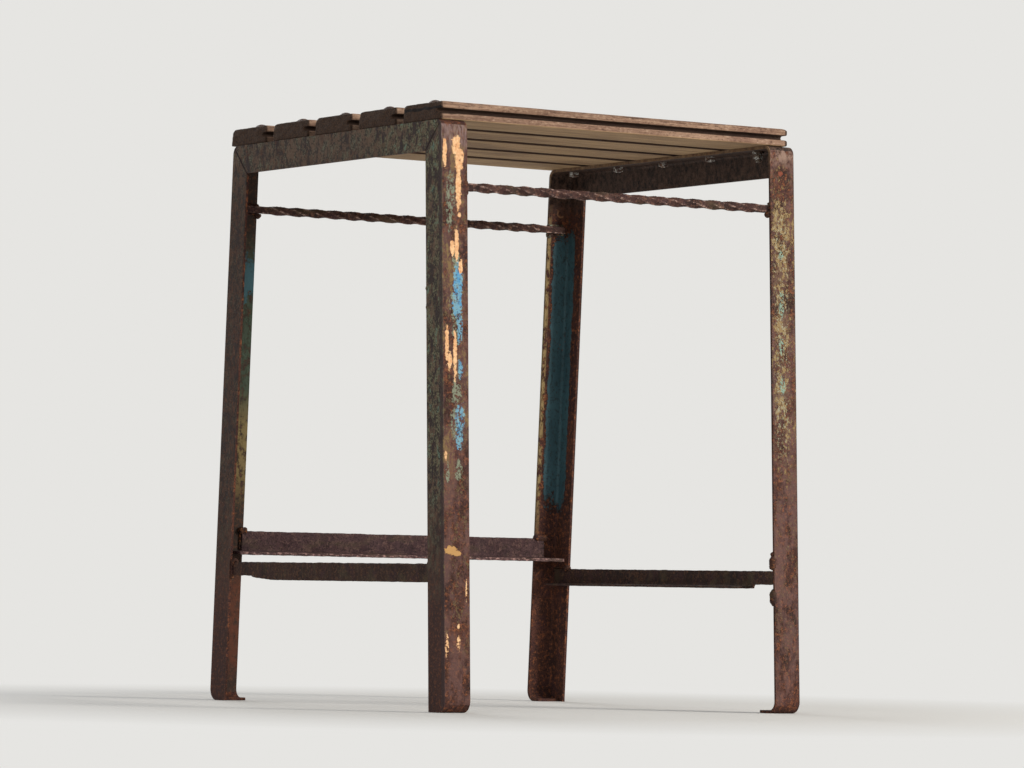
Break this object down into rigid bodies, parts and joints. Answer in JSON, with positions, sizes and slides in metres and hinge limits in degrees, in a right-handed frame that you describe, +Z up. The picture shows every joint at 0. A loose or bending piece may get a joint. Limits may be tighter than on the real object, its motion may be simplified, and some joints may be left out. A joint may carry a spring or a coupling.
{
  "type": "industrial stool",
  "caption": "Backless slatted stool: grooved wooden boards bolted across bent steel-angle side frames, tied by angle stretchers and twisted square bars.",
  "frame": {"origin": "on the floor, under the middle of the stool's outline", "axes": "+X along the seat boards towards the frame that they stop short of, +Y from the open front to the back with the rear stretcher, +Z up"},
  "size_m": [0.432, 0.4638, 0.6085],
  "materials": {
    "flaking_painted_steel": "dark brown rust with flaking layers of cream, blue, green and mustard paint",
    "rusted_steel": "dark purple-brown rust, dull",
    "weld_metal": "rough, rusted weld beads",
    "fastener_steel": "rusted plain steel",
    "weathered_wood": "bare grey-tan softwood, raised grain, worn edges"
  },
  "bodies": {
    "root": {"bolt_left_1": "fastener_steel", "bolt_left_2": "fastener_steel", "bolt_left_3": "fastener_steel", "bolt_left_4": "fastener_steel", "bolt_left_5": "fastener_steel", "bolt_right_1": "fastener_steel", "bolt_right_2": "fastener_steel", "bolt_right_3": "fastener_steel", "bolt_right_4": "fastener_steel", "bolt_right_5": "fastener_steel", "front_bar_left_weld": "weld_metal", "front_bar_right_weld": "weld_metal", "front_twisted_bar": "rusted_steel", "left_side_frame": "flaking_painted_steel", "left_stretcher": "rusted_steel", "left_stretcher_front_weld": "weld_metal", "left_stretcher_rear_weld": "weld_metal", "lower_edge_weld": "weld_metal", "nut_left_1": "fastener_steel", "nut_left_2": "fastener_steel", "nut_left_3": "fastener_steel", "nut_left_4": "fastener_steel", "nut_left_5": "fastener_steel", "nut_right_1": "fastener_steel", "nut_right_2": "fastener_steel", "nut_right_3": "fastener_steel", "nut_right_4": "fastener_steel", "nut_right_5": "fastener_steel", "rear_bar_left_weld": "weld_metal", "rear_bar_right_weld": "weld_metal", "rear_stretcher": "rusted_steel", "rear_stretcher_left_weld": "weld_metal", "rear_stretcher_right_weld": "weld_metal", "rear_twisted_bar": "rusted_steel", "right_side_frame": "flaking_painted_steel", "right_stretcher": "rusted_steel", "right_stretcher_front_weld": "weld_metal", "right_stretcher_rear_weld": "weld_metal", "slat_1": "weathered_wood", "slat_2": "weathered_wood", "slat_3": "weathered_wood", "slat_4": "weathered_wood", "slat_5": "weathered_wood", "upper_edge_weld": "weld_metal", "washer_right_1_lower": "fastener_steel", "washer_right_1_upper": "fastener_steel"}
  },
  "joints": []
}
